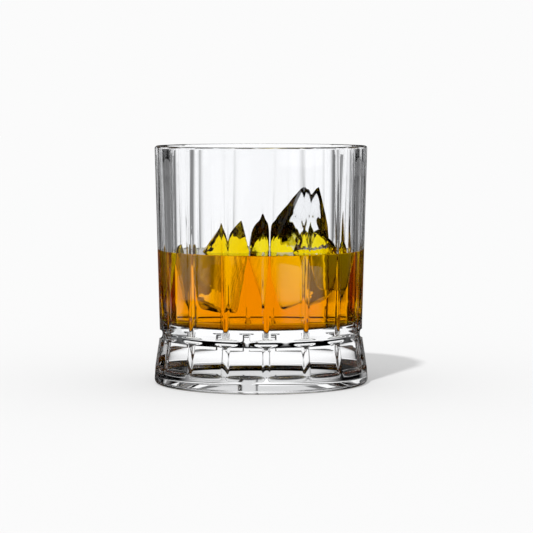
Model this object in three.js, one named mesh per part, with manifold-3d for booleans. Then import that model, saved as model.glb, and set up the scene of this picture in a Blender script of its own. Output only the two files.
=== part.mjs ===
// A pressed-glass whiskey tumbler holding a measure of whiskey and five lumps of cracked ice.
// Millimetres, +Z up. The origin is the centre of the foot, on the surface that the glass stands on, and the
// front is -Y. The wall and the flared base share sixteen wide flat panels with a narrow raised rib between
// each two. Every lump of ice is widest at the whiskey's surface, so it lifts straight up out of its pocket.
import * as THREE from "three";
import { mergeVertices } from "three/addons/utils/BufferGeometryUtils.js";
import { ConvexGeometry } from "three/addons/geometries/ConvexGeometry.js";
import Module from "manifold-3d";

// Overall sizes of the glass.
const height = 92;
const rimRadius = 41.2;
const wallFootRadius = 39.45;
const boreRadius = 37.8;
const baseThickness = 23.5;

// Panels and ribs.
const panelCount = 16;
const ribWidth = 3;
const rimRibRise = 0.1;
const waistRibRise = 0.6;
const baseRibRise = 0.8;
const firstRibTurn = THREE.MathUtils.degToRad(2.9);

// The flared base, its waist groove, its bevelled foot and the recess under it.
const footRadius = 41.5;
const footRound = 1.6;
const bevelTop = 6.6;
const bevelDrop = 0.5;
const panelFootRadius = 41.2;
const shoulderRadius = 39.6;
const grooveHeight = 18.9;
const grooveDepth = 1.1;
const grooveHalf = 1.7;
const bearingRadius = 34;
const recessDepth = 0.5;

// The rim and the inside corner.
const rimRound = 1;
const floorRound = 3;

// What the glass holds.
const whiskeyLevel = 51.4;
const clearance = 0.3;

// How finely the round stretches are cut.
const ribSteps = 4;
const panelSteps = 3;
const arcSteps = 3;
const lathSegments = 96;

const pitch = (2 * Math.PI) / panelCount;
const quarter = Math.PI / 2;

const wasm = await Module();
wasm.setup();

// A closed geometry as a manifold-3d solid, with its shared vertices merged.
function solidOf(geometry) {
  const bare = geometry.clone();
  bare.deleteAttribute("normal");
  bare.deleteAttribute("uv");
  const merged = mergeVertices(bare, 1e-3);
  const vertProperties = merged.attributes.position.array;
  const triVerts = new Uint32Array(merged.index.array);
  return new wasm.Manifold(new wasm.Mesh({ numProp: 3, vertProperties, triVerts }));
}

function geometryOf(solid) {
  const mesh = solid.getMesh();
  const geometry = new THREE.BufferGeometry();
  geometry.setAttribute("position", new THREE.BufferAttribute(mesh.vertProperties, 3));
  geometry.setIndex(new THREE.BufferAttribute(mesh.triVerts, 1));
  return geometry;
}

// Points of a round profile corner: centre (r, z), from one angle to another, counted from straight outwards.
function arc(r, z, radius, from, to) {
  const points = [];
  for (let i = 0; i <= arcSteps; i++) {
    const a = from + ((to - from) * i) / arcSteps;
    points.push([r + radius * Math.cos(a), z + radius * Math.sin(a)]);
  }
  return points;
}

// The direction of a column of the glass's mesh, counted from its rib's middle.
function columnTurn(step) {
  const ribEdge = Math.asin(ribWidth / 2 / wallFootRadius);
  if (step <= ribSteps) return ribEdge * ((2 * step) / ribSteps - 1);
  return ribEdge + ((pitch - 2 * ribEdge) * (step - ribSteps)) / panelSteps;
}

// The distance from the axis to the panelled outline in a direction counted from a rib's middle: a flat panel
// between two ribs' edges, or the rib's round bead where that stands further out.
function ribbedRadius(crest, rise, turn) {
  const half = ribWidth / 2;
  const ribEdge = Math.atan2(half, crest - rise);
  const apothem = Math.hypot(half, crest - rise) * Math.cos(pitch / 2 - ribEdge);
  const panel = apothem / Math.cos(pitch / 2 - Math.abs(turn));
  const beadRadius = (half * half + rise * rise) / (2 * rise);
  const beadCentre = crest - beadRadius;
  const sideways = beadCentre * Math.sin(turn);
  if (Math.abs(sideways) >= beadRadius) return panel;
  const bead = beadCentre * Math.cos(turn) + Math.sqrt(beadRadius * beadRadius - sideways * sideways);
  return Math.max(panel, bead);
}

// The outside of the glass from the middle of the recess to the rim, then down the inside to the middle of
// the floor. Each point is [radius, height], and a panelled one adds its ribs' crest radius and their rise.
function glassProfile() {
  const lerp = THREE.MathUtils.lerp;
  const recess = [];
  for (let i = 0; i < arcSteps; i++) {
    const share = i / arcSteps;
    recess.push([bearingRadius * share, recessDepth * (1 - share * share)]);
  }
  const groove = [];
  for (const across of [-1, -0.97, -0.8, -0.4, 0, 0.4, 0.8, 0.97, 1]) {
    const share = (across + 1) / 2;
    const crest = lerp(shoulderRadius, wallFootRadius, share);
    const r = crest - grooveDepth * Math.sqrt(1 - Math.abs(across) ** 3);
    groove.push([r, grooveHeight + grooveHalf * across, crest, lerp(baseRibRise, waistRibRise, share)]);
  }
  const rimOut = arc(rimRadius - rimRound, height - rimRound, rimRound, 0, quarter);
  return [
    ...recess,
    [bearingRadius, 0],
    ...arc(footRadius - footRound, footRound, footRound, -quarter, 0),
    [panelFootRadius, bevelTop - bevelDrop],
    [panelFootRadius, bevelTop, panelFootRadius, baseRibRise],
    ...groove,
    ...rimOut.map(([r, z]) => [r, z, rimRadius, rimRibRise]),
    ...arc(boreRadius + rimRound, height - rimRound, rimRound, quarter, Math.PI),
    ...arc(boreRadius - floorRound, baseThickness + floorRound, floorRound, 0, -quarter),
    [0, baseThickness],
  ];
}

// A lathe whose columns stand on the rib and panel edges, with the panelled rings moved onto their outline.
// Where the waist or the rim lies deeper than a panel, the ring stays round.
function tumblerGeometry() {
  const profile = glassProfile();
  const perPanel = ribSteps + panelSteps;
  const columns = panelCount * perPanel;
  const outline = profile.map(([r, z]) => new THREE.Vector2(r, z));
  const lathe = new THREE.LatheGeometry(outline, columns);
  const position = lathe.getAttribute("position");
  for (let i = 0; i < position.count; i++) {
    const [r, z, crest, rise] = profile[i % profile.length];
    const column = Math.floor(i / profile.length) % columns;
    const turn = columnTurn(column % perPanel);
    const fromRib = Math.min(Math.abs(turn), pitch - turn);
    const reach = crest ? Math.min(r, ribbedRadius(crest, rise, fromRib)) : r;
    const angle = firstRibTurn + Math.floor(column / perPanel) * pitch + turn;
    position.setXYZ(i, reach * Math.sin(angle), -reach * Math.cos(angle), z);
  }
  return lathe;
}

// The measure of whiskey: the bore's shape up to the surface, a clearance in from the glass.
function whiskeyGeometry() {
  const radius = boreRadius - clearance;
  const round = floorRound - clearance;
  const bottom = baseThickness + clearance;
  const corner = arc(radius - round, bottom + round, round, -quarter, 0);
  const points = [[0, bottom], ...corner, [radius, whiskeyLevel], [0, whiskeyLevel]];
  const outline = points.map(([r, z]) => new THREE.Vector2(r, z));
  return new THREE.LatheGeometry(outline, lathSegments).rotateX(quarter);
}

// Where a lump's corners are: across in shares of the bore's radius, so that the ice stays inside the bore.
// Above the surface a height is in millimetres; below it, it is a share of the whiskey's depth.
const waterline = (x, y) => new THREE.Vector3(x * boreRadius, y * boreRadius, whiskeyLevel);
const above = (x, y, rise) => waterline(x, y).setZ(whiskeyLevel + rise);
const below = (x, y, sunk) => waterline(x, y).setZ(whiskeyLevel - sunk * (whiskeyLevel - baseThickness));

const ice = {
  ice_main_peak: [
    above(0.5, 0.03, 24.8),
    above(0.55, 0.2, 25.2),
    above(0.04, 0.1, 9.8),
    above(-0.1, 0.3, 9.2),
    above(0.76, 0.16, 9.4),
    waterline(-0.03, 0.0),
    waterline(0.06, -0.17),
    waterline(0.26, -0.17),
    waterline(0.74, -0.03),
    waterline(0.8, 0.14),
    waterline(0.7, 0.46),
    waterline(0.36, 0.62),
    waterline(0.02, 0.58),
    waterline(-0.13, 0.42),
    waterline(-0.12, 0.2),
    below(0.13, -0.12, 0.84),
    below(0.3, -0.1, 0.55),
    below(0.62, 0.1, 0.55),
    below(0.5, 0.35, 0.72),
    below(0.1, 0.35, 0.8),
  ],
  ice_left_peak: [
    above(-0.22, 0.02, 12.4),
    above(-0.3, 0.22, 10.4),
    above(-0.42, -0.02, 7.3),
    waterline(-0.66, -0.06),
    waterline(-0.54, -0.26),
    waterline(-0.22, -0.32),
    waterline(-0.09, -0.22),
    waterline(-0.08, -0.04),
    waterline(-0.2, 0.2),
    waterline(-0.24, 0.46),
    waterline(-0.46, 0.5),
    waterline(-0.66, 0.26),
    below(-0.52, -0.05, 0.82),
    below(-0.2, -0.12, 0.9),
    below(-0.3, 0.3, 0.78),
    below(-0.52, 0.25, 0.7),
  ],
  ice_front_block: [
    above(0.56, -0.24, 9.3),
    above(0.46, -0.18, 8.2),
    above(0.8, -0.22, 4.4),
    waterline(0.32, -0.27),
    waterline(0.4, -0.4),
    waterline(0.72, -0.42),
    waterline(0.86, -0.3),
    waterline(0.84, -0.13),
    waterline(0.6, -0.15),
    below(0.44, -0.3, 0.5),
    below(0.74, -0.32, 0.55),
    below(0.76, -0.2, 0.5),
  ],
  ice_right_shard: [
    above(0.87, 0.12, 19.6),
    above(0.92, 0.08, 5),
    waterline(0.87, -0.04),
    waterline(0.95, -0.06),
    waterline(0.97, 0.1),
    waterline(0.91, 0.32),
    waterline(0.85, 0.28),
    waterline(0.85, 0.06),
    below(0.9, 0.05, 0.6),
    below(0.9, 0.22, 0.5),
  ],
  ice_left_chip: [
    above(-0.76, 0.02, 2.9),
    above(-0.85, 0.06, 2.4),
    waterline(-0.92, -0.06),
    waterline(-0.82, -0.26),
    waterline(-0.71, -0.22),
    waterline(-0.72, 0.1),
    waterline(-0.78, 0.28),
    waterline(-0.92, 0.16),
    below(-0.84, -0.08, 0.75),
    below(-0.77, 0.12, 0.7),
  ],
};

// A lump grown by the clearance on every side: the hull of its corners, each moved six ways.
function pocketGeometry(corners) {
  const reach = clearance * Math.sqrt(3);
  const ways = [new THREE.Vector3(1, 0, 0), new THREE.Vector3(0, 1, 0), new THREE.Vector3(0, 0, 1)];
  const grown = [];
  for (const corner of corners) {
    for (const way of ways) {
      grown.push(corner.clone().addScaledVector(way, reach));
      grown.push(corner.clone().addScaledVector(way, -reach));
    }
  }
  return new ConvexGeometry(grown);
}

const glass = new THREE.MeshStandardMaterial({
  color: 0xeaf0f4,
  roughness: 0.04,
  metalness: 0,
  transparent: true,
  opacity: 0.3,
});
const amber = new THREE.MeshStandardMaterial({ color: 0xe07f0c, roughness: 0.05, metalness: 0 });
const clearIce = new THREE.MeshStandardMaterial({ color: 0xdbe4ea, roughness: 0.12, metalness: 0 });

const tumblerWithWhiskey = new THREE.Group();

function add(name, geometry, material) {
  const mesh = new THREE.Mesh(geometry, material.clone());
  mesh.name = name;
  tumblerWithWhiskey.add(mesh);
}

let whiskey = solidOf(whiskeyGeometry());
for (const corners of Object.values(ice)) whiskey = whiskey.subtract(solidOf(pocketGeometry(corners)));

add("tumbler", tumblerGeometry(), glass);
add("whiskey", geometryOf(whiskey), amber);
for (const [name, corners] of Object.entries(ice)) add(name, new ConvexGeometry(corners), clearIce);

export default tumblerWithWhiskey;
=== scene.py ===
"""A pressed-glass whiskey tumbler with whiskey and cracked ice, built around its frame.

Every surface is worked out in metres, in the frame's own axes: +Z up, the front towards -Y, the origin at the
middle of the foot. The glass stands for the node tumbler, the drink for whiskey, and each lump of ice for its
own node, so that a lump still lifts out on its slide.
"""
import math

import bpy
import numpy as np
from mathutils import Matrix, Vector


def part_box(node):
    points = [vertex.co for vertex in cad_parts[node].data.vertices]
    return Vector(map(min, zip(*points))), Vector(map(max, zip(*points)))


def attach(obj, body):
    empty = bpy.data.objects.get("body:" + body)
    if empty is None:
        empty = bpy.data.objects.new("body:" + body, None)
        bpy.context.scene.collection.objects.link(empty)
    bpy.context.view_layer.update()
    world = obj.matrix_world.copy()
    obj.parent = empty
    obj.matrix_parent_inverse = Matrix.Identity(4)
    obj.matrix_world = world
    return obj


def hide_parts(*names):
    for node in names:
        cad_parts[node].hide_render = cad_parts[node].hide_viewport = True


bl_info = {
    "name": "Whiskey Tumbler",
    "version": (1, 0, 0),
    "blender": (4, 5, 0),
    "location": "3D View > Sidebar > Tumbler",
    "description": "Builds a panelled tumbler with whiskey and cracked ice",
    "category": "Add Mesh",
}

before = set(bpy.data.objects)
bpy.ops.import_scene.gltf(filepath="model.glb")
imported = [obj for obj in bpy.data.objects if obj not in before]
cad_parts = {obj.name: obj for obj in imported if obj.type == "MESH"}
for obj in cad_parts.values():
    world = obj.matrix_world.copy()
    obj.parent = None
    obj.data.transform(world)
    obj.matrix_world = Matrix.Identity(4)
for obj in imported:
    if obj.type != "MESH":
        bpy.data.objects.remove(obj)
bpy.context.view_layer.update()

MM = 0.001
TURN = 2 * math.pi
GLASS_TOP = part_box("tumbler")[1].z
WHISKEY_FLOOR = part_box("whiskey")[0].z
WHISKEY_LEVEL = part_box("whiskey")[1].z
WHISKEY_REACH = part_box("whiskey")[1].x
CAD_CLEARANCE = 0.3 * MM
SOFTEN = 0.03 * MM
WHITE = (1.0, 1.0, 1.0, 1.0)


# ---------------------------------------------------------------- sizes and colours

class GlassSizes(bpy.types.PropertyGroup):
    """Sizes of the pressed glass."""

    panels: bpy.props.IntProperty(
        name="Panels", description="Flat panels around the glass", default=16, min=3)
    first_rib: bpy.props.FloatProperty(
        name="First rib", description="Turn of the first rib from the front",
        default=math.radians(2.9), subtype="ANGLE")
    rib_width: bpy.props.FloatProperty(
        name="Rib width", description="Width of the round rib between two panels", default=3.0 * MM,
        unit="LENGTH", precision=4)
    rim_rise: bpy.props.FloatProperty(
        name="Rise at the rim", description="Height of a rib above its edges, at the rim", default=0.1 * MM,
        unit="LENGTH", precision=5)
    waist_rise: bpy.props.FloatProperty(
        name="Rise at the waist", description="Height of a rib above its edges, at the foot of the wall",
        default=0.6 * MM, unit="LENGTH", precision=5)
    base_rise: bpy.props.FloatProperty(
        name="Rise on the base", description="Height of a rib above its edges, on the base", default=0.8 * MM,
        unit="LENGTH", precision=5)
    rim_radius: bpy.props.FloatProperty(
        name="Rim radius", description="Outside radius at the rim", default=41.2 * MM,
        unit="LENGTH", precision=4)
    wall_foot_radius: bpy.props.FloatProperty(
        name="Wall foot radius", description="Outside radius just above the waist", default=39.45 * MM,
        unit="LENGTH", precision=4)
    rim_round: bpy.props.FloatProperty(
        name="Rim rounding", description="Radius of the rim's two corners", default=1.0 * MM,
        unit="LENGTH", precision=4)
    base_thickness: bpy.props.FloatProperty(
        name="Base thickness", description="From the bearing ring to the inside floor",
        default=WHISKEY_FLOOR - CAD_CLEARANCE, unit="LENGTH", precision=4)
    floor_round: bpy.props.FloatProperty(
        name="Floor rounding", description="Radius of the inside corner", default=3.0 * MM,
        unit="LENGTH", precision=4)


class DrinkSizes(bpy.types.PropertyGroup):
    """Sizes and colour of the whiskey."""

    meniscus: bpy.props.FloatProperty(
        name="Meniscus", description="How far the surface climbs the glass", default=0.35 * MM,
        unit="LENGTH", precision=5)
    contact: bpy.props.FloatProperty(
        name="Contact", default=0.04 * MM, unit="LENGTH", precision=5,
        description="How far the liquid reaches into glass and ice, so that light passes straight across")
    density: bpy.props.FloatProperty(
        name="Depth of colour", description="Absorption per metre", default=400.0, min=0.0)
    tint: bpy.props.FloatVectorProperty(
        name="Tint", description="Colour that the whiskey lets through", subtype="COLOR",
        default=(0.998, 0.956, 0.25), min=0.0, max=1.0)


class IceSizes(bpy.types.PropertyGroup):
    """Finish of the cracked ice."""

    sharpness: bpy.props.FloatProperty(
        name="Sharpness", description="Higher keeps the broken edges crisper", default=18.0, min=4.0)
    melt: bpy.props.FloatProperty(
        name="Melt", description="Depth of the melted hollows, as a share of the lump", default=0.035,
        min=0.0, max=0.2)


class StageSettings(bpy.types.PropertyGroup):
    """Camera and light."""

    camera_back: bpy.props.FloatProperty(
        name="Camera back", description="Distance from the glass's axis", default=0.89,
        unit="LENGTH")
    camera_height: bpy.props.FloatProperty(
        name="Camera height", description="Height above the floor", default=0.110,
        unit="LENGTH")
    field: bpy.props.FloatProperty(
        name="Field", description="Width seen at the glass's axis", default=0.2068,
        unit="LENGTH")
    floor_shade: bpy.props.FloatProperty(
        name="Floor shade", description="Brightness of floor and backdrop", default=0.965,
        min=0.0, max=1.0)
    key_share: bpy.props.FloatProperty(
        name="Key share", description="Light that the key light gives a white floor", default=0.63,
        min=0.0)
    card_shade: bpy.props.FloatProperty(
        name="Card shade", description="Brightness of the white cards", default=1.13,
        min=0.0)
    glow_shade: bpy.props.FloatProperty(
        name="Glow shade", description="Brightness of the tent beside the cards", default=0.2,
        min=0.0)
    haze_shade: bpy.props.FloatProperty(
        name="Haze shade", description="Brightness of the tent above the cards", default=0.75,
        min=0.0)
    strip_shade: bpy.props.FloatProperty(
        name="Strip shade", description="Brightness of the lights that the glass mirrors",
        default=0.4, min=0.0)
    table_shade: bpy.props.FloatProperty(
        name="Table shade", description="Brightness of the table around the glass", default=1.1,
        min=0.0)


# ---------------------------------------------------------------- meshes

def ease(share):
    """Smooth step: three squares less two cubes of a share held between 0 and 1."""
    share = np.clip(share, 0.0, 1.0)
    return share * share * (3.0 - 2.0 * share)


def arc(radius, height, bend, start, end, steps):
    """Profile points on a circle of radius bend about (radius, height), from angle start to end."""
    angle = np.linspace(start, end, steps + 1)
    return np.stack([radius + bend * np.cos(angle), height + bend * np.sin(angle)], axis=1)


def line(start, end, steps):
    """Profile points spread evenly from start up to but not including end."""
    share = np.arange(steps)[:, None] / steps
    return np.array(start) * (1 - share) + np.array(end) * share


def closed_surface(name, rings, first, last):
    """A closed mesh from rings (rows, columns, 3), each closed on itself, with a pole at either end.

    Quads join each ring to the next and fans of triangles join the end rings to their poles. The faces are
    turned round where the volume, a sixth of the sum of each triangle's triple product, comes out negative.
    """
    rows, columns = rings.shape[:2]
    points = np.concatenate([rings.reshape(-1, 3), [first], [last]])
    index = np.arange(rows * columns).reshape(rows, columns)
    after = np.roll(index, -1, axis=1)
    quads = np.stack([index[:-1], after[:-1], after[1:], index[1:]], axis=-1).reshape(-1, 4)
    low = np.stack([np.full(columns, rows * columns), after[0], index[0]], axis=-1)
    high = np.stack([np.full(columns, rows * columns + 1), index[-1], after[-1]], axis=-1)
    triangles = np.concatenate([quads[:, [0, 1, 2]], quads[:, [0, 2, 3]], low, high])
    a, b, c = (points[triangles[:, i]] for i in range(3))
    if np.einsum("ij,ij->i", a, np.cross(b, c)).sum() < 0:
        quads, low, high = quads[:, ::-1], low[:, ::-1], high[:, ::-1]
    mesh = bpy.data.meshes.new(name)
    mesh.from_pydata(points.tolist(), [], quads.tolist() + low.tolist() + high.tolist())
    mesh.shade_smooth()
    piece = bpy.data.objects.new(name, mesh)
    bpy.context.scene.collection.objects.link(piece)
    return piece


def panelled_radius(crest, rise, turn, sizes):
    """Radius of the panelled outline in a direction turned from the nearest rib's middle.

    A panel is a straight line between two ribs' edges, so its radius is its apothem over the cosine of the
    turn from its middle. A rib is a circle through its two edges and its crest. The outline is the greater of
    the two, with the crease between them softened by a sum of exponentials.
    """
    half = sizes.rib_width / 2
    middle = math.pi / sizes.panels
    edge = np.arctan2(half, crest - rise)
    apothem = np.hypot(half, crest - rise) * np.cos(middle - edge)
    panel = apothem / np.cos(middle - np.abs(turn))
    bead = (half**2 + rise**2) / (2 * rise)
    sideways = (crest - bead) * np.sin(turn)
    rib = (crest - bead) * np.cos(turn) + np.sqrt(np.clip(bead**2 - sideways**2, 0, None))
    return SOFTEN * np.logaddexp(panel / SOFTEN, rib / SOFTEN)


def rib_turns(sizes):
    """Column directions around the glass, as (turn from the front, turn from the nearest rib).

    They lie close together on the ribs, over a zone half as wide again as a rib.
    """
    middle = math.pi / sizes.panels
    zone = 1.5 * sizes.rib_width / 2 / sizes.rim_radius
    one = np.concatenate([
        np.linspace(-zone, zone, 22, endpoint=False),
        np.linspace(zone, 2 * middle - zone, 18, endpoint=False),
    ])
    around = one[None, :] + 2 * middle * np.arange(sizes.panels)[:, None] + sizes.first_rib
    from_rib = (one + middle) % (2 * middle) - middle
    return around.ravel(), np.tile(from_rib, sizes.panels)


def glass_profile(sizes):
    """The glass's profile from the middle of the recess, over the rim, to the middle of the inside floor.

    Rows are (radius, height, radius of the ribs before the waist and the rim are rounded, rise of the ribs,
    share of panelling). The recess is a shallow parabola, and the foot and the rim are circle arcs. The waist
    groove's depth is the root of 1 less the cube of its share of the half height, which gives it steep sides
    and a broad bottom. The panels start at a short ledge above the foot.
    """
    recess_depth, bearing, foot_radius, foot_round = 0.5 * MM, 34 * MM, 41.5 * MM, 1.6 * MM
    bevel_top, bevel_drop, panel_foot, shoulder = 6.6 * MM, 0.5 * MM, 41.2 * MM, 39.6 * MM
    groove_height, groove_half, groove_depth = 18.9 * MM, 1.7 * MM, 1.1 * MM
    top, quarter = GLASS_TOP, math.pi / 2
    bore = WHISKEY_REACH + CAD_CLEARANCE

    share = np.linspace(0.1, 1, 9)
    recess = np.stack([bearing * share, recess_depth * (1 - share**2)], axis=1)
    foot = arc(foot_radius - foot_round, foot_round, foot_round, -quarter, 0, 12)
    band = line(foot[-1], (panel_foot, bevel_top - bevel_drop), 3)[1:]
    ledge = line((panel_foot, bevel_top - bevel_drop), (panel_foot, bevel_top), 6)
    shoulder_height = groove_height - groove_half
    flare = line((panel_foot, bevel_top), (shoulder, shoulder_height), 10)
    wave = np.sin(np.linspace(-1, 1, 33) * quarter)
    edge = shoulder + (sizes.wall_foot_radius - shoulder) * (wave + 1) / 2
    depth = groove_depth * np.sqrt(1 - np.abs(wave) ** 3)
    groove = np.stack([edge - depth, groove_height + groove_half * wave], axis=1)
    wall = line(groove[-1], (sizes.rim_radius, top - sizes.rim_round), 8)[1:]
    rim_out = arc(sizes.rim_radius - sizes.rim_round, top - sizes.rim_round, sizes.rim_round, 0, quarter, 12)
    rim_in = arc(bore + sizes.rim_round, top - sizes.rim_round, sizes.rim_round, quarter, 2 * quarter, 8)
    corner = arc(bore - sizes.floor_round, sizes.base_thickness + sizes.floor_round, sizes.floor_round,
                 0, -quarter, 12)
    inside = line(rim_in[-1], corner[0], 6)[1:]
    floor = line(corner[-1], (0, sizes.base_thickness), 5)[1:]

    wall_share = (wall[:, 1] - groove[-1, 1]) / (wall[-1, 1] - groove[-1, 1])
    wall_rise = sizes.waist_rise + (sizes.rim_rise - sizes.waist_rise) * wall_share
    waist_rise = sizes.base_rise + (sizes.waist_rise - sizes.base_rise) * (wave + 1) / 2
    stretches = [
        (recess, recess[:, 0], 0, 0),
        (foot, foot[:, 0], 0, 0),
        (band, band[:, 0], 0, 0),
        (ledge, ledge[:, 0], sizes.base_rise, ease(np.arange(len(ledge)) / len(ledge))),
        (flare, flare[:, 0], sizes.base_rise, 1),
        (groove, edge, waist_rise, 1),
        (wall, wall[:, 0], wall_rise, 1),
        (rim_out, sizes.rim_radius, sizes.rim_rise, 1),
        (rim_in, rim_in[:, 0], 0, 0),
        (inside, inside[:, 0], 0, 0),
        (corner, corner[:, 0], 0, 0),
        (floor, floor[:, 0], 0, 0),
    ]
    table = [np.column_stack([rows] + [value + np.zeros(len(rows)) for value in values])
             for rows, *values in stretches]
    return np.concatenate(table), (0, 0, recess_depth), (0, 0, sizes.base_thickness)


def tumbler_mesh(name, sizes):
    """The profile turned about the axis and panelled; where the waist or the rim lies deeper, it stays round.

    Rows with no panelling have no rise, and near the axis no room for a rib. The outline takes a least rise
    and a least radius there, so that it stays a number, and their share of panelling then cancels it.
    """
    profile, first, last = glass_profile(sizes)
    around, from_rib = rib_turns(sizes)
    radius, height, crest, rise, share = (profile[:, i, None] for i in range(5))
    outline = panelled_radius(np.maximum(crest, 4 * sizes.rib_width), np.maximum(rise, 0.1 * MM),
                              from_rib[None, :], sizes)
    reach = crest + (outline - crest) * share
    reach = np.where(share > 0, -SOFTEN * np.logaddexp(-reach / SOFTEN, -radius / SOFTEN), radius)
    rings = np.stack([reach * np.sin(around), -reach * np.cos(around), height + 0 * reach], axis=-1)
    return closed_surface(name, rings, first, last)


def drink_mesh(name, glass, drink):
    """The bore's shape turned about the axis, its surface climbing the glass by a falling exponential."""
    reach = WHISKEY_REACH + CAD_CLEARANCE + drink.contact
    bottom = glass.base_thickness - drink.contact
    bend = glass.floor_round + drink.contact
    quarter = math.pi / 2
    climb = 1.1 * MM
    away = np.concatenate([np.linspace(0, 5 * climb, 16), np.linspace(8 * climb, 0.98 * reach, 12)])
    surface = np.stack([reach - away, WHISKEY_LEVEL + drink.meniscus * np.exp(-away / climb)], axis=1)
    corner = arc(reach - bend, bottom + bend, bend, -quarter, 0, 10)
    rows = np.concatenate([
        line((0.02 * reach, bottom), corner[0], 4),
        corner,
        line(corner[-1], surface[0], 10)[1:],
        surface,
    ])
    around = np.linspace(0, TURN, 256, endpoint=False)
    rings = np.stack([
        rows[:, 0, None] * np.sin(around),
        -rows[:, 0, None] * np.cos(around),
        np.repeat(rows[:, 1, None], len(around), axis=1),
    ], axis=-1)
    return closed_surface(name, rings, (0, 0, bottom), (0, 0, WHISKEY_LEVEL))


def facets(node):
    """The flat faces of a lump's solid as (outward unit normals, distances from its middle, the middle).

    The triangles of one flat face are alike in both, so only one of each is kept.
    """
    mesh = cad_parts[node].data
    corners = np.array([v.co for v in mesh.vertices], float)
    middle = (corners.min(0) + corners.max(0)) / 2 * 0.4 + corners.mean(0) * 0.6
    normals = np.array([p.normal for p in mesh.polygons], float)
    centres = np.array([p.center for p in mesh.polygons], float)
    distances = np.einsum("ij,ij->i", normals, centres - middle)
    alike = np.round(np.column_stack([normals * 50, distances / (0.2 * MM)]))
    _, kept = np.unique(alike, axis=0, return_index=True)
    return normals[kept], distances[kept], middle


def lump_mesh(name, node, ice, grown=0.0, columns=220, rows=144):
    """A lump of ice as the distance from its middle to its surface in every direction.

    Each facet's flat face lies at its distance over the cosine to its normal. The inverse distances are
    joined by a power mean, which rounds the edges between facets the less the higher the power. The melted
    hollows are products of slow waves over the directions, and only ever take ice away. The grid's pole
    points at the lump's highest corner, with its rings closer together, its edges crisper and its hollows
    fading out there. A lump can be grown, or shrunk by a negative amount, to cut a pocket from.
    """
    normals, distances, middle = facets(node)
    corners = np.array([v.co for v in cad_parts[node].data.vertices], float)
    pole = corners[corners[:, 2].argmax()] - middle
    pole /= np.linalg.norm(pole)
    side = np.cross(pole, (0.0, 1.0, 0.0))
    side /= np.linalg.norm(side)
    turned = np.stack([side, np.cross(pole, side), pole])
    polar = math.pi * np.linspace(0, 1, rows + 2)[1:-1, None] ** 1.35
    around = np.linspace(0, TURN, columns, endpoint=False)[None, :]

    def surface(polar, around):
        way = np.stack([np.sin(polar) * np.cos(around), np.sin(polar) * np.sin(around),
                        np.cos(polar) + 0 * around], axis=-1) @ turned
        lean = np.clip(way @ normals.T / (distances + grown), 0, None)
        peak = lean.max(-1, keepdims=True)
        power = ice.sharpness * (1 + 4 * np.exp(-(polar / 0.5) ** 2))[..., None] + 0 * peak
        reach = 1 / (peak * ((lean / peak) ** power).sum(-1, keepdims=True) ** (1 / power))[..., 0]
        x, y, z = (way[..., i] for i in range(3))
        slow = np.sin(7 * x + 3 * z) * np.sin(6 * y - 5 * z + 1)
        quick = np.sin(17 * x - 6 * y + 2) * np.sin(15 * z + 8 * y)
        hollow = ice.melt * (0.5 + 0.5 * slow) + 0.35 * ice.melt * (0.5 + 0.5 * quick)
        hollow = hollow * (1 - np.exp(-(polar / 0.35) ** 2))
        return middle + way * (reach * (1 - hollow))[..., None]

    none = np.zeros((1, 1))
    return closed_surface(name, surface(polar, around), surface(none, none)[0, 0],
                          surface(none + math.pi, none)[0, 0])


def cut_away(piece, cutter):
    """Takes cutter's solid out of piece and removes cutter."""
    modifier = piece.modifiers.new("pocket", "BOOLEAN")
    modifier.operation = "DIFFERENCE"
    modifier.solver = "MANIFOLD"
    modifier.object = cutter
    bpy.context.view_layer.update()
    cut = piece.evaluated_get(bpy.context.evaluated_depsgraph_get())
    mesh = bpy.data.meshes.new_from_object(cut)
    piece.modifiers.clear()
    piece.data = mesh
    bpy.data.objects.remove(cutter)


# ---------------------------------------------------------------- materials

class Wire:
    """A shader socket that adds Math nodes when it is used in an expression."""

    def __init__(self, nodes, socket):
        self.nodes = nodes
        self.socket = socket

    def math(self, operation, *values):
        return self.nodes.add("ShaderNodeMath", {"operation": operation}, *values)

    def __add__(self, other):
        return self.math("ADD", self, other)

    def __radd__(self, other):
        return self.math("ADD", other, self)

    def __sub__(self, other):
        return self.math("SUBTRACT", self, other)

    def __rsub__(self, other):
        return self.math("SUBTRACT", other, self)

    def __mul__(self, other):
        return self.math("MULTIPLY", self, other)

    def __rmul__(self, other):
        return self.math("MULTIPLY", other, self)

    def root(self):
        return self.math("SQRT", self)

    def larger(self, other):
        return self.math("MAXIMUM", self, other)

    def __truediv__(self, other):
        return self.math("DIVIDE", self, other)

    def __rtruediv__(self, other):
        return self.math("DIVIDE", other, self)


class Nodes:
    """The node tree of a material or world, emptied, with one method that adds a node."""

    def __init__(self, owner):
        owner.use_nodes = True
        self.tree = owner.node_tree
        self.tree.nodes.clear()

    def add(self, kind, settings=None, *values, out=0, **named):
        """Adds a node, sets its settings and its inputs, by place or by name, and gives its chosen output."""
        node = self.tree.nodes.new(kind)
        for key, value in (settings or {}).items():
            setattr(node, key, value)
        for key, value in [*enumerate(values), *named.items()]:
            socket = node.inputs[key if isinstance(key, int) else key.replace("_", " ")]
            if isinstance(value, Wire):
                self.tree.links.new(value.socket, socket)
            else:
                socket.default_value = value
        return Wire(self, node.outputs[out] if node.outputs else None)

    def split(self, vector):
        """The three parts of a vector."""
        parts = self.add("ShaderNodeSeparateXYZ", {}, vector).socket.node.outputs
        return [Wire(self, part) for part in parts]

    def step(self, value, low, high):
        """A smooth step of value from 0 at low to 1 at high."""
        return self.add("ShaderNodeMapRange", {"interpolation_type": "SMOOTHSTEP"}, Value=value, From_Min=low,
                        From_Max=high)


def new_material(name):
    """A material with an empty node tree."""
    material = bpy.data.materials.new(name)
    return material, Nodes(material)


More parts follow.
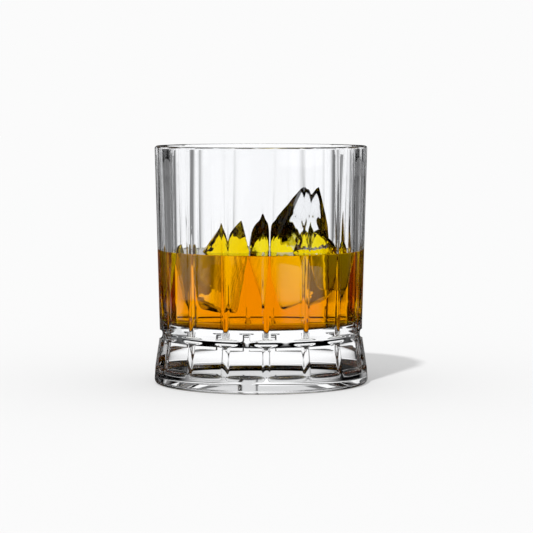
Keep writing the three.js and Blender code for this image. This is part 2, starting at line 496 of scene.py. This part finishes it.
def glass_material():
    """Clear pressed glass: faint swirls in the wall from the press, and a trace of grey in its depth."""
    material, nodes = new_material("pressed_glass")
    place = nodes.add("ShaderNodeTexCoord", out=3)
    swirl = nodes.add("ShaderNodeTexNoise", {}, Vector=place, Scale=55.0, Detail=2.0)
    bump = nodes.add("ShaderNodeBump", {}, Strength=0.03, Distance=0.0004, Height=swirl)
    shader = nodes.add(
        "ShaderNodeBsdfPrincipled", {}, Base_Color=(0.985, 0.99, 1.0, 1.0), Roughness=0.0, IOR=1.5,
        Transmission_Weight=1.0, Normal=bump)
    nodes.add("ShaderNodeOutputMaterial", {}, Surface=shader)
    return material


def whiskey_material(drink):
    """Whiskey: clear at its surface, with the amber taken from the light on its way through.

    Most of its surface touches glass or ice, which mirror less than air does, so its mirroring is cut down.
    """
    material, nodes = new_material("amber_whiskey")
    shader = nodes.add(
        "ShaderNodeBsdfPrincipled", {}, Base_Color=WHITE, Roughness=0.0, IOR=1.36,
        Specular_Tint=(0.15, 0.15, 0.15, 1.0), Transmission_Weight=1.0)
    depth = nodes.add("ShaderNodeVolumeAbsorption", {}, Color=(*drink.tint, 1.0), Density=drink.density)
    nodes.add("ShaderNodeOutputMaterial", {}, Surface=shader, Volume=depth)
    return material


def ice_material():
    """Clear ice, wet and slightly dimpled by melting.

    Its index is above real ice's 1.31, so that its slopes go dark where they turn away, as cracked ice's do.
    """
    material, nodes = new_material("clear_ice")
    place = nodes.add("ShaderNodeTexCoord", out=3)
    dimples = nodes.add("ShaderNodeTexNoise", {}, Vector=place, Scale=160.0, Detail=2.0)
    bump = nodes.add("ShaderNodeBump", {}, Strength=0.08, Distance=0.0006, Height=dimples)
    shader = nodes.add(
        "ShaderNodeBsdfPrincipled", {}, Base_Color=(0.98, 0.99, 1.0, 1.0), Roughness=0.0, IOR=1.4,
        Specular_Tint=(0.3, 0.3, 0.3, 1.0), Transmission_Weight=1.0, Normal=bump)
    nodes.add("ShaderNodeOutputMaterial", {}, Surface=shader)
    return material


def finish_piece(piece, material, body, slot, *stands_for):
    """Gives a piece its material and the body it moves with, and hides the nodes it stands for. The slot is
    not used.
    """
    piece.data.materials.clear()
    piece.data.materials.append(material)
    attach(piece, body)
    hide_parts(*stands_for)


# ---------------------------------------------------------------- operators

LUMPS = {
    "ice_main_peak": "main_peak",
    "ice_left_peak": "left_peak",
    "ice_front_block": "front_block",
    "ice_right_shard": "right_shard",
    "ice_left_chip": "left_chip",
}


class TUMBLER_OT_glass(bpy.types.Operator):
    """Build the pressed glass"""

    bl_idname = "tumbler.glass"
    bl_label = "Glass"

    def execute(self, context):
        piece = tumbler_mesh("pressed_tumbler", context.scene.tumbler_glass)
        finish_piece(piece, glass_material(), "glass_and_whiskey", "clear_glass", "tumbler")
        return {"FINISHED"}


class TUMBLER_OT_whiskey(bpy.types.Operator):
    """Build the whiskey with a pocket for each lump of ice"""

    bl_idname = "tumbler.whiskey"
    bl_label = "Whiskey"

    def execute(self, context):
        scene = context.scene
        piece = drink_mesh("whiskey_measure", scene.tumbler_glass, scene.tumbler_drink)
        for node in LUMPS:
            cut_away(piece, lump_mesh("pocket", node, scene.tumbler_ice, -scene.tumbler_drink.contact))
        piece.data.shade_smooth()
        piece.data.set_sharp_from_angle(angle=math.radians(40))
        finish_piece(piece, whiskey_material(scene.tumbler_drink), "glass_and_whiskey", "whiskey", "whiskey")
        return {"FINISHED"}


class TUMBLER_OT_ice(bpy.types.Operator):
    """Build the lumps of cracked ice"""

    bl_idname = "tumbler.ice"
    bl_label = "Ice"

    def execute(self, context):
        material = ice_material()
        for node, body in LUMPS.items():
            piece = lump_mesh("cracked_" + node, node, context.scene.tumbler_ice)
            finish_piece(piece, material, body, "ice", node)
        return {"FINISHED"}


class TUMBLER_OT_stage(bpy.types.Operator):
    """Set the floor, backdrop, light and camera"""

    bl_idname = "tumbler.stage"
    bl_label = "Stage"

    def execute(self, context):
        settings = context.scene.tumbler_stage
        build_floor(settings)
        build_tent(settings)
        build_mirror(settings)
        build_world(context.scene, settings)
        build_sun(settings)
        build_camera(context.scene, settings)
        return {"FINISHED"}


# ---------------------------------------------------------------- stage

def build_floor(settings):
    """A pale floor, part of its light its own, so that it meets the backdrop with no seam."""
    reach, albedo = 6.0, 0.45
    mesh = bpy.data.meshes.new("floor")
    corners = [(-reach, -reach, 0), (reach, -reach, 0), (reach, reach, 0), (-reach, reach, 0)]
    mesh.from_pydata(corners, [], [(0, 1, 2, 3)])
    floor = bpy.data.objects.new("floor", mesh)
    bpy.context.scene.collection.objects.link(floor)
    material, nodes = new_material("pale_floor")
    own = settings.floor_shade * (1 - albedo) - albedo * settings.key_share
    shader = nodes.add(
        "ShaderNodeBsdfPrincipled", {}, Base_Color=(albedo, albedo, albedo, 1.0), Roughness=1.0,
        Specular_IOR_Level=0.0, Emission_Color=WHITE, Emission_Strength=own)
    nodes.add("ShaderNodeOutputMaterial", {}, Surface=shader)
    mesh.materials.append(material)
    floor.visible_transmission = False
    floor.visible_glossy = False


def build_shell(name, seen_by_mirrors):
    """A closed drum around the glass, seen either by what the glass mirrors or by what shines through it.

    Gives the nodes of its material, the three parts of a place on it, and that place's distance from the
    axis.
    """
    radius, top = 1.3, 1.2
    rows = np.array([(0.01, -0.001), (radius, -0.001), (radius, top), (0.01, top)])
    around = np.linspace(0, TURN, 64, endpoint=False)
    rings = np.stack([rows[:, 0, None] * np.sin(around), rows[:, 0, None] * np.cos(around),
                      np.repeat(rows[:, 1, None], len(around), axis=1)], axis=-1)
    shell = closed_surface(name, rings, (0, 0, rows[0, 1]), (0, 0, top))
    shell.visible_camera = False
    shell.visible_diffuse = False
    shell.visible_shadow = False
    shell.visible_glossy = seen_by_mirrors
    shell.visible_transmission = not seen_by_mirrors
    material, nodes = new_material(name)
    shell.data.materials.append(material)
    material.cycles.emission_sampling = "NONE"
    across, back, up = nodes.split(nodes.add("ShaderNodeTexCoord", out=3))
    return nodes, across, back, up, (across * across + back * back).root()


def shine(nodes, light):
    """Ends a shell's material: black, giving off this light."""
    shader = nodes.add("ShaderNodeBsdfPrincipled", {}, Base_Color=(0.0, 0.0, 0.0, 1.0), Roughness=1.0,
                       Specular_IOR_Level=0.0, Emission_Color=light, Emission_Strength=1.0)
    nodes.add("ShaderNodeOutputMaterial", {}, Surface=shader)


def build_tent(settings):
    """What shines through the glass: white cards behind it and to its left, and the pale table under it.

    A sector is a soft mask of the directions from the axis near one way, given by the cosine to it. The walls
    hold the cards, with a fainter glow beside them, and a haze above that fades out higher up. The table is
    pale close by and beyond, and a dark ring lies on it where the waist's groove looks, which draws the dark
    bars there. Right under the glass the table is dark, a painted contact shadow that the base looks down on.
    Distances are in metres from the axis.
    """
    nodes, across, back, up, away = build_shell("light_tent", False)

    def sector(cosine, dark, bright):
        return nodes.step(cosine, math.cos(math.radians(dark)), math.cos(math.radians(bright)))

    def between(value, start, full, fading, end):
        return nodes.step(value, start, full) * (1 - nodes.step(value, fading, end))

    diagonal = math.sqrt(0.5)
    straight_back = back / away
    left_back = back.larger(across * -1) / away
    back_left = (back - across) * diagonal / away
    front_right = (across - back) * diagonal / away

    card = sector(left_back, 17, 3)
    glow = sector(left_back, 75, 25)
    desk = sector(left_back.larger(front_right), 36, 16)
    low = 1 - nodes.step(up, 0.08, 0.11)
    lit = card * (settings.card_shade - settings.glow_shade) + glow * settings.glow_shade
    haze = settings.haze_shade * desk * (1 - nodes.step(up / away, 0.2, 0.3))
    wall = lit * low + haze * (1 - low)

    corner = 0.2 * sector(left_back.larger(back_left), 55, 30) + 0.8 * sector(straight_back, 26, 12)
    # Painted shade: right under the glass the table is dark, a painted contact shadow, brightening to pale a
    # little past the foot; close by it is lit only behind and to the left.
    near = nodes.step(away, 0.03, 0.06) * corner
    ring = between(away, 0.083, 0.09, 0.112, 0.12) * sector(straight_back, 32, 22)
    ground = sector(straight_back.larger(back_left), 50, 30).larger(0.3 * sector(front_right, 30, 12))
    outer = nodes.step(away, 0.13, 0.17)
    far = nodes.step(away, 0.4, 0.5)
    table = near * (1 - ring) * (1 - outer) + outer * ground * (1 - far) + desk * far
    on_wall = nodes.step(up, 0.0, 0.002)
    shine(nodes, table * settings.table_shade * (1 - on_wall) + wall * on_wall)


def build_mirror(settings):
    """What the glass mirrors: a dark room with a tall soft light behind to each side."""
    nodes, across, back, up, away = build_shell("mirror_tent", True)
    side = across.larger(across * -1) / away
    strip = nodes.step(side, 0.75, 0.85) * (1 - nodes.step(side, 0.93, 0.98)) * nodes.step(up, 0.02, 0.06)
    shine(nodes, strip * nodes.step(back / away, 0.0, 0.3) * settings.strip_shade)


def build_world(scene, settings):
    """An even pale backdrop."""
    world = bpy.data.worlds.new("studio")
    scene.world = world
    nodes = Nodes(world)
    light = nodes.add("ShaderNodeBackground", {}, Color=WHITE, Strength=settings.floor_shade)
    nodes.add("ShaderNodeOutputWorld", {}, Surface=light)


def build_sun(settings):
    """The key light, from the front, a little to the left and about fifty degrees up.

    Its strength on the floor is key_share of a white surface: pi times that over the sine of its height.
    """
    light = bpy.data.lights.new("key", "SUN")
    across, back, up = 0.26, 0.66, 0.92
    light.energy = settings.key_share * math.pi * math.hypot(across, back, up) / up
    light.angle = math.radians(3)
    key = bpy.data.objects.new("key", light)
    key.visible_glossy = False
    key.visible_transmission = False
    lean, turn = math.atan2(math.hypot(across, back), up), math.atan2(-back, -across)
    key.rotation_euler = (lean, 0, turn + math.pi / 2)
    bpy.context.scene.collection.objects.link(key)


def build_camera(scene, settings):
    """A long lens a little above the rim, looking slightly down at the middle of the glass."""
    lens = bpy.data.cameras.new("camera")
    lens.sensor_width = 36.0
    lens.lens = 36.0 * settings.camera_back / settings.field
    lens.clip_end = 50.0
    camera = bpy.data.objects.new("camera", lens)
    aim_height, aim_across = 0.045, 0.0021
    drop = math.atan2(settings.camera_height - aim_height, settings.camera_back)
    camera.location = (aim_across, -settings.camera_back, settings.camera_height)
    camera.rotation_euler = (math.pi / 2 - drop, 0, 0)
    scene.collection.objects.link(camera)
    scene.camera = camera


# ---------------------------------------------------------------- add-on

class TUMBLER_PT_panel(bpy.types.Panel):
    """Lists the pieces of the tumbler."""

    bl_idname = "TUMBLER_PT_panel"
    bl_label = "Whiskey Tumbler"
    bl_space_type = "VIEW_3D"
    bl_region_type = "UI"
    bl_category = "Tumbler"

    def draw(self, context):
        for operator in OPERATORS:
            self.layout.operator(operator.bl_idname)


OPERATORS = (TUMBLER_OT_glass, TUMBLER_OT_whiskey, TUMBLER_OT_ice, TUMBLER_OT_stage)
SETTINGS = {
    "tumbler_glass": GlassSizes,
    "tumbler_drink": DrinkSizes,
    "tumbler_ice": IceSizes,
    "tumbler_stage": StageSettings,
}


def register():
    for cls in (*SETTINGS.values(), *OPERATORS, TUMBLER_PT_panel):
        bpy.utils.register_class(cls)
    for name, group in SETTINGS.items():
        setattr(bpy.types.Scene, name, bpy.props.PointerProperty(type=group))


def unregister():
    for name in SETTINGS:
        delattr(bpy.types.Scene, name)
    for cls in reversed((*SETTINGS.values(), *OPERATORS, TUMBLER_PT_panel)):
        bpy.utils.unregister_class(cls)


def main():
    """Builds every piece and the stage."""
    register()
    scene = bpy.context.scene
    scene.view_settings.view_transform = "Standard"
    scene.cycles.max_bounces = 40
    scene.cycles.transmission_bounces = 40
    scene.cycles.glossy_bounces = 24
    scene.cycles.transparent_max_bounces = 16
    bpy.ops.tumbler.glass()
    bpy.ops.tumbler.whiskey()
    bpy.ops.tumbler.ice()
    bpy.ops.tumbler.stage()


if __name__ == "__main__":
    main()
